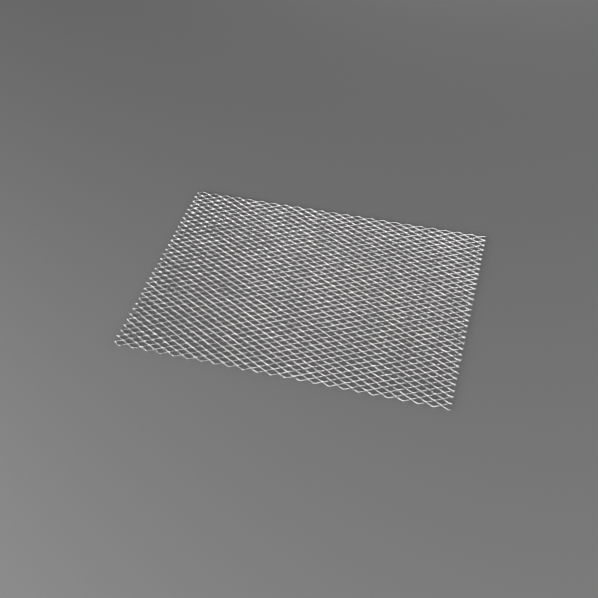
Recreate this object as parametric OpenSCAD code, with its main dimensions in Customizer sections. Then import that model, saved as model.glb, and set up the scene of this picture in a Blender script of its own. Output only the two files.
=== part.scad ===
// Expanded metal sheet, in millimetres.
// A flat stock sheet is slit in staggered rows. Each row is then pushed out by one stroke, so
// that every strip between two rows of slits becomes a wave. Neighbouring strips stay joined
// at the bonds, where one strip's far stretch lies on the level of the next strip's near stretch.
// The strips are drawn as steps, each one feed above the last, and then laid flat on the floor.

/* [Diamond] */
// Long way of a diamond, from bond to bond along the sheet's length
long_way = 16.9; // [12:0.1:40]
// Short way of a diamond, from bond to bond across the sheet
short_way = 9.4; // [6:0.1:24]
// Width of a strand, which is the feed between two rows of slits
strand_w = 1.2; // [0.8:0.1:2.4]
// Thickness of the stock sheet
stock_t = 0.8; // [0.5:0.1:1.6]
// Level stretch of a strand in each bond
bond_flat = 1.4; // [0.6:0.1:4]

/* [Sheet] */
// Length between the two sheared ends
sheet_l = 400; // [200:1:600]
// Rows of diamonds across the sheet
rows = 32; // [8:1:48]
// Left sheared end to the centre of the bonds that it cuts
first_bond = 0.7; // [0:0.1:1]

/* [Hidden] */
NODES = ["mesh_band_1", "mesh_band_2", "mesh_band_3", "mesh_band_4"];

bands = len(NODES);
strips = 2 * rows;
function first_strip(band) = floor(band * strips / bands);

// Places are kept to a thousandth, so that joined strips meet exactly
function thousandth(v) = round(v * 1000) / 1000;
half_long = thousandth(long_way / 2);
// Each row of bonds lies one stroke behind the last and one feed above it
stroke = thousandth(sqrt(pow(short_way / 2, 2) - pow(strand_w, 2)));
row_pitch = norm([strand_w, stroke]);
lean = atan2(strand_w, stroke);

sheet_w = strips * row_pitch + stock_t * cos(lean);
foot = (stroke + stock_t) * sin(lean);

// Centre of the bond that starts half wave i
function bond_x(i) = first_bond + i * half_long;
half_waves = ceil((sheet_l - first_bond) / half_long);

// Share of the stroke that a strip has gone back at x, where its near bonds have the given parity
function share(from_near) =
    max(0, min(1, (from_near - bond_flat / 2) / (half_long - bond_flat)));
function from_near_bond(x, parity) =
    let (pitch = 2 * half_long, past = x - bond_x(parity) + pitch)
    half_long - abs(past - pitch * floor(past / pitch) - half_long);
function way_back(x, parity) = thousandth(stroke * share(from_near_bond(x, parity)));

// Corners of every strip between the two sheared ends
bend_xs = [
    0,
    for (i = [0 : half_waves], side = [-1, 1])
        let (x = bond_x(i) + side * bond_flat / 2)
        if (x > 0 && x < sheet_l) x,
    sheet_l
];

// One strip, extruded up across its width
module strip(parity) {
    front = [for (x = bend_xs) [x, way_back(x, parity)]];
    back = [for (i = [len(bend_xs) - 1 : -1 : 0]) front[i] + [0, stock_t]];
    linear_extrude(strand_w) polygon(concat(front, back));
}

// A band of strips, each one stroke behind the last and one feed above it
module band(index) {
    color("gainsboro")
        translate([-sheet_l / 2, -sheet_w / 2, foot])
            rotate([-lean, 0, 0])
                for (i = [first_strip(index) : first_strip(index + 1) - 1])
                    translate([0, i * stroke, i * strand_w])
                        strip((i + 1) % 2);
}

band(0);  // mesh_band_1
band(1);  // mesh_band_2
band(2);  // mesh_band_3
band(3);  // mesh_band_4
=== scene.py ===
import math
from collections import namedtuple

import bpy
import numpy as np
from mathutils import Matrix, Vector


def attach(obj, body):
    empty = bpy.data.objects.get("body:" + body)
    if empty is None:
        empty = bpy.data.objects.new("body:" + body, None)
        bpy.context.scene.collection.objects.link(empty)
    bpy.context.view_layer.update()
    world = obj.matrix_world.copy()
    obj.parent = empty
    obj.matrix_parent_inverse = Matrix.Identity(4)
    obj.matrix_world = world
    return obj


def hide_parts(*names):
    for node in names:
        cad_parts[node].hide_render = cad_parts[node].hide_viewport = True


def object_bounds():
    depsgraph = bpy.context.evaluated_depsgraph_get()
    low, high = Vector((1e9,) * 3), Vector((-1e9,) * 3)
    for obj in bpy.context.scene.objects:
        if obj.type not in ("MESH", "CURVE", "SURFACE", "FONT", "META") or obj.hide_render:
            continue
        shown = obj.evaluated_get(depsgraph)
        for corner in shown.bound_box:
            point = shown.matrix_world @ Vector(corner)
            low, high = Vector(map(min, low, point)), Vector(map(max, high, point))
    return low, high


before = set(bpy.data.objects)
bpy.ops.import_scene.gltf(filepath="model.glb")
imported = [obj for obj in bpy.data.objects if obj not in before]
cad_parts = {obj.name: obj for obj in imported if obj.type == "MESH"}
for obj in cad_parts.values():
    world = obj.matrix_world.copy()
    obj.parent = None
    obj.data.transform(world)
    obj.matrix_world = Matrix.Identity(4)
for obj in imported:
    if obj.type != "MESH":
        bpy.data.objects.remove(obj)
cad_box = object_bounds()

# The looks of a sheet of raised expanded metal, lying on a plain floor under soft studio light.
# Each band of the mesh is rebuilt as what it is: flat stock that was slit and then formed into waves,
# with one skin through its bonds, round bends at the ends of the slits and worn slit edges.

MM = 0.001

# The mesh, in millimetres
LONG_WAY = 16.9
SHORT_WAY = 9.4
STRAND_W = 1.2
STOCK_T = 0.8
BOND_FLAT = 1.4
FIRST_BOND = 0.7
SHEET_L = (cad_box[1].x - cad_box[0].x) / MM
SHEET_W = (cad_box[1].y - cad_box[0].y) / MM
HALF_LONG = LONG_WAY / 2
ROW_PITCH = SHORT_WAY / 2
STROKE = math.sqrt(ROW_PITCH ** 2 - STRAND_W ** 2)
STRIPS = round((SHEET_W - STOCK_T) / ROW_PITCH)

# How the strands are formed, in millimetres: the bends beside a bond, the wear of a slit edge, what the
# slit takes off each edge, the length over which a slit opens, and the usual bow of a strand
BEND_R = 0.9
EDGE_ROUND = 0.14
SLIT_GAP = 0.03
OPENING_RUN = 1.2
STRAND_WANDER = 0.05
WANDER_SEED = 7

# The eight corners of a strand's section, in order round it. Edge A faces down, and edge B faces up.
A_FRONT, A_NEAR, A_FAR, A_BACK, B_BACK, B_FAR, B_NEAR, B_FRONT = range(8)
SECTION_SIDES = 8
# The sides, named by the corner that they start from, that lie inside a bond at edge A and at edge B
BOND_SIDES_A = (A_FRONT, A_NEAR, A_FAR)
BOND_SIDES_B = (B_BACK, B_FAR, B_NEAR)
# How much of each side was cut by the slitting blade
SLIT_SHARE = (0.5, 1.0, 0.5, 0.0, 0.5, 1.0, 0.5, 0.0)

# The map that a band's skin is laid out on: strips are stacked, and each is folded into a few lengths.
# Lengths leave room at the right, where the sheared ends lie.
MAP_FOLDS = 2
MAP_MARGIN = 0.25
MAP_ROOM = 1.02
MAP_ENDS = 0.985
MAP_ENDS_W = 0.01

# Edges that are bent by more than this, in degrees, stay sharp
SHARP_BEND = 60


def bend_angle():
    """Slope of a strand whose two bends are round and that still goes back by one stroke."""
    run = HALF_LONG - BOND_FLAT
    low, high = 0.0, math.radians(70)
    for _ in range(60):
        angle = (low + high) / 2
        fall = 2 * BEND_R * (1 - math.cos(angle)) + (run - 2 * BEND_R * math.sin(angle)) * math.tan(angle)
        low, high = (angle, high) if fall < STROKE else (low, angle)
    return angle


BEND = bend_angle()


def way_back(distance):
    """How far back a strip has gone at a distance along it from the centre of a near bond."""
    past = distance - BOND_FLAT / 2
    run = HALF_LONG - BOND_FLAT
    if past <= 0:
        return 0.0
    if past >= run:
        return STROKE
    if past > run / 2:
        return STROKE - way_back(HALF_LONG - distance)
    if past < BEND_R * math.sin(BEND):
        return BEND_R - math.sqrt(BEND_R ** 2 - past ** 2)
    return BEND_R * (1 - math.cos(BEND)) + (past - BEND_R * math.sin(BEND)) * math.tan(BEND)


def sample_places():
    """Places along the sheet where each strip has a section: slit ends, bends and the middle of a strand."""
    steps = [BOND_FLAT / 2 + BEND_R * math.sin(BEND * share) for share in (0, 0.5, 1)]
    offsets = [-step for step in steps] + steps + [HALF_LONG / 2]
    bonds = range(-1, math.ceil(SHEET_L / HALF_LONG) + 1)
    places = {round(FIRST_BOND + bond * HALF_LONG + offset, 6) for bond in bonds for offset in offsets}
    return np.array([0.0] + sorted(place for place in places if 0 < place < SHEET_L) + [SHEET_L])


PLACES = sample_places()


def from_bond(parity):
    """Distance along the sheet from each sample to the nearest bond of that parity."""
    past = (PLACES - FIRST_BOND - parity * HALF_LONG) % LONG_WAY
    return np.minimum(past, LONG_WAY - past)


def strand_wander(rng):
    """Small random bow of each strand of a strip between its bonds, in millimetres."""
    wander = np.zeros(len(PLACES))
    middle = np.isclose(np.minimum(from_bond(0), from_bond(1)), HALF_LONG / 2, rtol=0, atol=0.01)
    most = 2 * STRAND_WANDER
    wander[middle] = rng.normal(0, STRAND_WANDER, middle.sum()).clip(-most, most)
    return wander


def slit_opening(from_centre, has_neighbour):
    """Which samples of a strip's edge are joined to the next strip, and how far the slit is open at each."""
    if not has_neighbour:
        return np.zeros(len(PLACES), bool), np.ones(len(PLACES))
    tolerance = 1e-4
    joined = from_centre <= BOND_FLAT / 2 + tolerance
    opened = np.clip((from_centre - BOND_FLAT / 2) / OPENING_RUN, 0, 1)
    opened[joined] = 0
    return joined, opened


def strip_points(index, wander):
    """Corners of one strip's sections: along, across, depth and way back. Then which samples are joined."""
    parity = (index + 1) % 2
    from_near = from_bond(parity)
    joined_a, open_a = slit_opening(from_near, index > 0)
    joined_b, open_b = slit_opening(from_bond(1 - parity), index < STRIPS - 1)
    edge_a = index * STRAND_W + SLIT_GAP * open_a
    edge_b = (index + 1) * STRAND_W - SLIT_GAP * open_b
    round_a = EDGE_ROUND * open_a
    round_b = EDGE_ROUND * open_b
    across = np.empty((len(PLACES), SECTION_SIDES))
    across[:, A_FRONT] = across[:, A_BACK] = edge_a + round_a
    across[:, B_FRONT] = across[:, B_BACK] = edge_b - round_b
    across[:, A_NEAR] = across[:, A_FAR] = edge_a
    across[:, B_NEAR] = across[:, B_FAR] = edge_b
    depth = np.empty_like(across)
    depth[:, [A_FRONT, B_FRONT]] = 0
    depth[:, [A_BACK, B_BACK]] = STOCK_T
    depth[:, A_NEAR] = round_a
    depth[:, A_FAR] = STOCK_T - round_a
    depth[:, B_NEAR] = round_b
    depth[:, B_FAR] = STOCK_T - round_b
    along = np.repeat(PLACES[:, None], SECTION_SIDES, 1)
    front = index * STROKE + np.array([way_back(distance) for distance in from_near]) + wander
    return along, across, depth, front[:, None] + depth, joined_a, joined_b


def laid_flat(along, across, back):
    """Turns points on the stepped strips into places on the floor, in millimetres."""
    lean, rise = STRAND_W / ROW_PITCH, STROKE / ROW_PITCH
    y = rise * back + lean * across - SHEET_W / 2
    z = rise * across - lean * back + lean * (STROKE + STOCK_T)
    return np.stack([along - SHEET_L / 2, y, z], -1)


def way_round():
    """How far round a strand's section each corner lies, in millimetres."""
    flat = STRAND_W - 2 * EDGE_ROUND
    side = STOCK_T - 2 * EDGE_ROUND
    turn = EDGE_ROUND * math.sqrt(2)
    return np.cumsum([0, turn, side, turn, flat, turn, side, turn, flat])


WAY_ROUND = way_round()

# One face of a skin: its corners, their spots on the map, its share cut by the blade, the strip that it
# is on, and whether it closes a bond at the side of the run
Face = namedtuple("Face", "corners spots slit strip closing")


class Skin:
    """Faces of a run of strips, with one skin through its inner bonds. The bonds at its sides are closed."""

    def __init__(self, wanders, first, last):
        self.first, self.last = first, last
        self.points, self.stock, self.faces = [], [], []
        self.strip_height = 2 * (STRAND_W + STOCK_T) + 2 * MAP_MARGIN
        self.fold_height = (last - first) * self.strip_height
        for index in range(first, last):
            self.add_strip(index, wanders[index])

    def add_strip(self, index, wander):
        """Adds one strip's sides, without those that lie inside a bond, and its two sheared ends."""
        along, across, depth, back, joined_a, joined_b = strip_points(index, wander)
        start = len(self.points) * along.size
        self.points.append(laid_flat(along, across, back).reshape(-1, 3))
        self.stock.append(np.stack([along, across, depth], -1).reshape(-1, 3))
        for sample in range(len(PLACES) - 1):
            for side in range(SECTION_SIDES):
                in_bond_a = side in BOND_SIDES_A and joined_a[sample] and joined_a[sample + 1]
                in_bond_b = side in BOND_SIDES_B and joined_b[sample] and joined_b[sample + 1]
                if (in_bond_a and index > self.first) or (in_bond_b and index < self.last - 1):
                    continue
                self.add_side(start, index, sample, side, in_bond_a or in_bond_b)
        base = (index - self.first) * self.strip_height
        for sample, turn in ((0, -1), (len(PLACES) - 1, 1)):
            ring = range(SECTION_SIDES)[::turn]
            corners = [start + sample * SECTION_SIDES + corner for corner in ring]
            spots = [(MAP_ENDS + across[sample, corner] % 1 * MAP_ENDS_W, base + depth[sample, corner])
                     for corner in ring]
            self.faces.append(Face(corners, spots, 1.0, index, False))

    def add_side(self, start, index, sample, side, closing):
        """Adds one side of a strip between a sample and the next one."""
        fold_size = math.ceil((len(PLACES) - 1) / MAP_FOLDS)
        fold = sample // fold_size
        left = PLACES[fold * fold_size]
        length = SHEET_L / MAP_FOLDS * MAP_ROOM
        base = fold * self.fold_height + (index - self.first) * self.strip_height + MAP_MARGIN
        loop = ((sample, side), (sample, side + 1), (sample + 1, side + 1), (sample + 1, side))
        corners = [start + place * SECTION_SIDES + corner % SECTION_SIDES for place, corner in loop]
        spots = [((PLACES[place] - left) / length, base + WAY_ROUND[corner]) for place, corner in loop]
        self.faces.append(Face(corners, spots, SLIT_SHARE[side], index, closing))

    def build(self, name):
        """Welds the strips into one mesh, and keeps which strip each corner of its faces is on."""
        points = np.concatenate(self.points)
        stock = np.concatenate(self.stock)
        keys = np.round(np.concatenate([points, stock[:, 2:]], 1), 4)
        _, first, where = np.unique(keys, axis=0, return_index=True, return_inverse=True)
        where = where.ravel()
        faces = []
        for face in self.faces:
            ids = [int(where[corner]) for corner in face.corners]
            kept = [n for n in range(len(ids)) if ids[n] != ids[n - 1]]
            if len(kept) >= 3:
                spots = [face.spots[n] for n in kept]
                faces.append(face._replace(corners=[ids[n] for n in kept], spots=spots))
        counts = [len(face.corners) for face in faces]
        self.corner_strip = np.repeat([face.strip for face in faces], counts)
        self.corner_closing = np.repeat([bool(face.closing) for face in faces], counts)
        mesh = bpy.data.meshes.new(name)
        mesh.from_pydata((points[first] * MM).tolist(), [], [face.corners for face in faces])
        layer = mesh.uv_layers.new(name="OFBake")
        spots = np.array([spot for face in faces for spot in face.spots])
        spread = spots / [1, MAP_FOLDS * self.fold_height]
        layer.uv.foreach_set("vector", spread.astype(np.float32).ravel())
        place = mesh.attributes.new("stock", "FLOAT_VECTOR", "POINT")
        place.data.foreach_set("vector", (stock[first] * MM).astype(np.float32).ravel())
        share = mesh.attributes.new("slit", "FLOAT", "FACE")
        share.data.foreach_set("value", np.array([face.slit for face in faces], np.float32))
        mesh.update()
        return mesh


def worn_normals(mesh):
    """Normals at a mesh's corners that follow its large faces, so that only the small edges look round."""
    mesh.shade_smooth()
    mesh.set_sharp_from_angle(angle=math.radians(SHARP_BEND))
    piece = bpy.data.objects.new("shading", mesh)
    bpy.context.scene.collection.objects.link(piece)
    weigh = piece.modifiers.new("face normals", "WEIGHTED_NORMAL")
    weigh.keep_sharp = True
    shaded = piece.evaluated_get(bpy.context.evaluated_depsgraph_get()).data
    normals = np.empty(len(mesh.loops) * 3, np.float32)
    shaded.corner_normals.foreach_get("vector", normals)
    bpy.data.objects.remove(piece)
    bpy.data.meshes.remove(mesh)
    return normals.reshape(-1, 3)


def formed_bands():
    """One formed piece in place of each band of the frame, shaded as part of the whole sheet."""
    rng = np.random.default_rng(WANDER_SEED)
    wanders = [strand_wander(rng) for _ in range(STRIPS)]
    sheet = Skin(wanders, 0, STRIPS)
    sheet_normals = worn_normals(sheet.build("sheet"))
    nodes = sorted(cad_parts)
    pieces = []
    for band, node in enumerate(nodes):
        first = band * STRIPS // len(nodes)
        last = (band + 1) * STRIPS // len(nodes)
        skin = Skin(wanders, first, last)
        mesh = skin.build("formed_" + node)
        mesh.shade_smooth()
        faces = mesh.polygons
        normals = np.repeat([face.normal for face in faces], [face.loop_total for face in faces], 0)
        in_band = (sheet.corner_strip >= first) & (sheet.corner_strip < last)
        normals[~skin.corner_closing] = sheet_normals[in_band]
        mesh.normals_split_custom_set(normals.tolist())
        piece = bpy.data.objects.new("formed_" + node, mesh)
        bpy.context.scene.collection.objects.link(piece)
        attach(piece, "root")
        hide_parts(node)
        pieces.append(piece)
    return pieces


def bare_aluminium():
    """Bright bare aluminium: rolling lines along the stock, torn grain on the slit edges."""
    material = bpy.data.materials.new("bare_aluminium")
    material.use_nodes = True
    nodes, links = material.node_tree.nodes, material.node_tree.links
    shader = nodes["Principled BSDF"]
    shader.inputs["Metallic"].default_value = 1.0
    place = nodes.new("ShaderNodeAttribute")
    place.attribute_name = "stock"
    slit = nodes.new("ShaderNodeAttribute")
    slit.attribute_name = "slit"

    def noise(per_metre, detail):
        spread = nodes.new("ShaderNodeMapping")
        spread.inputs["Scale"].default_value = per_metre
        links.new(place.outputs["Vector"], spread.inputs["Vector"])
        texture = nodes.new("ShaderNodeTexNoise")
        texture.inputs["Scale"].default_value = 1.0
        texture.inputs["Detail"].default_value = detail
        links.new(spread.outputs["Vector"], texture.inputs["Vector"])
        return texture.outputs["Fac"]

    def ramp(value, low, high):
        change = nodes.new("ShaderNodeMapRange")
        change.inputs["From Min"].default_value = 0.3
        change.inputs["From Max"].default_value = 0.7
        change.inputs["To Min"].default_value = low
        change.inputs["To Max"].default_value = high
        links.new(value, change.inputs["Value"])
        return change.outputs["Result"]

    def by_slit(on_faces, on_edges):
        mix = nodes.new("ShaderNodeMix")
        links.new(slit.outputs["Fac"], mix.inputs["Factor"])
        links.new(on_faces, mix.inputs["A"])
        links.new(on_edges, mix.inputs["B"])
        return mix.outputs["Result"]

    rolled = noise((60, 6000, 6000), 3)
    torn = noise((5000, 900, 900), 2)
    patches = noise((40, 40, 40), 2)

    tone = nodes.new("ShaderNodeMix")
    tone.data_type = "RGBA"
    tone.inputs["A"].default_value = (0.80, 0.805, 0.815, 1)
    tone.inputs["B"].default_value = (0.91, 0.91, 0.912, 1)
    links.new(ramp(patches, 0, 1), tone.inputs["Factor"])
    links.new(tone.outputs["Result"], shader.inputs["Base Color"])

    roughness = by_slit(ramp(rolled, 0.21, 0.27), ramp(torn, 0.23, 0.27))
    links.new(roughness, shader.inputs["Roughness"])

    bump = nodes.new("ShaderNodeBump")
    bump.inputs["Strength"].default_value = 0.25
    bump.inputs["Distance"].default_value = 0.03 * MM
    links.new(by_slit(rolled, torn), bump.inputs["Height"])
    links.new(bump.outputs["Normal"], shader.inputs["Normal"])
    return material


def plain_floor():
    """The plain neutral floor that the sheet lies on, about as pale as the photograph's."""
    bpy.ops.mesh.primitive_plane_add(size=8)
    floor = bpy.context.object
    floor.name = "floor"
    material = bpy.data.materials.new("plain_floor")
    material.use_nodes = True
    shader = material.node_tree.nodes["Principled BSDF"]
    shader.inputs["Base Color"].default_value = (0.18, 0.18, 0.18, 1)
    shader.inputs["Roughness"].default_value = 0.85
    shader.inputs["Specular IOR Level"].default_value = 0.2
    floor.data.materials.append(material)


def soft_box(name, azimuth, height, distance, size, power):
    """A soft box aimed at the sheet, in degrees, metres and watts. Azimuth 0 is behind it, 90 to its right."""
    light = bpy.data.lights.new(name, "AREA")
    light.shape = "RECTANGLE"
    light.size, light.size_y = size
    light.energy = power
    turn, rise = math.radians(azimuth), math.radians(height)
    away = Vector((math.sin(turn) * math.cos(rise), math.cos(turn) * math.cos(rise), math.sin(rise)))
    lamp = bpy.data.objects.new(name, light)
    bpy.context.scene.collection.objects.link(lamp)
    lamp.location = away * distance
    lamp.rotation_euler = away.to_track_quat("Z", "Y").to_euler()


def studio():
    """A ring of soft boxes, most of them low, and a weak high one, with a little light from everywhere."""
    world = bpy.data.worlds.new("studio")
    bpy.context.scene.world = world
    world.use_nodes = True
    sky = world.node_tree.nodes["Background"]
    sky.inputs["Color"].default_value = (1, 1, 1, 1)
    sky.inputs["Strength"].default_value = 0.14
    soft_box("back", azimuth=0, height=12, distance=1.8, size=(1.2, 0.5), power=10.8)
    soft_box("right", azimuth=90, height=12, distance=1.8, size=(1.2, 0.5), power=22.5)
    soft_box("front_right", azimuth=135, height=32, distance=1.8, size=(0.8, 0.8), power=8)
    soft_box("front", azimuth=180, height=12, distance=1.3, size=(0.9, 0.35), power=8.4)
    soft_box("front_left", azimuth=225, height=12, distance=1.3, size=(0.9, 0.35), power=15.2)
    soft_box("high", azimuth=225, height=60, distance=0.9, size=(0.5, 0.5), power=0.6)
    soft_box("left", azimuth=270, height=12, distance=1.8, size=(1.2, 0.5), power=14)


def photo_camera():
    """The camera that was fitted to the photograph's diamonds, in degrees, millimetres and pixels."""
    azimuth, elevation, roll = math.radians(16.456), math.radians(44.399), math.radians(-1.576)
    distance = 1180.601
    target = Vector((-7.025, -22.322, 1.16))
    focal_px, frame_px = 959.82, 598
    back = Vector((math.sin(azimuth) * math.cos(elevation), -math.cos(azimuth) * math.cos(elevation),
                   math.sin(elevation)))
    level = Vector((math.cos(azimuth), math.sin(azimuth), 0))
    upright = back.cross(level)
    right = level * math.cos(roll) + upright * math.sin(roll)
    up = upright * math.cos(roll) - level * math.sin(roll)
    camera = bpy.data.cameras.new("photo_camera")
    camera.sensor_width = 36
    camera.lens = focal_px * camera.sensor_width / frame_px
    camera.clip_end = 50
    holder = bpy.data.objects.new("photo_camera", camera)
    bpy.context.scene.collection.objects.link(holder)
    turn = Matrix((right, up, back)).transposed().to_4x4()
    holder.matrix_world = Matrix.Translation((target + back * distance) * MM) @ turn
    bpy.context.scene.camera = holder


metal = bare_aluminium()
for piece in formed_bands():
    piece.data.materials.append(metal)
plain_floor()
studio()
photo_camera()
bpy.context.scene.view_settings.view_transform = "Standard"
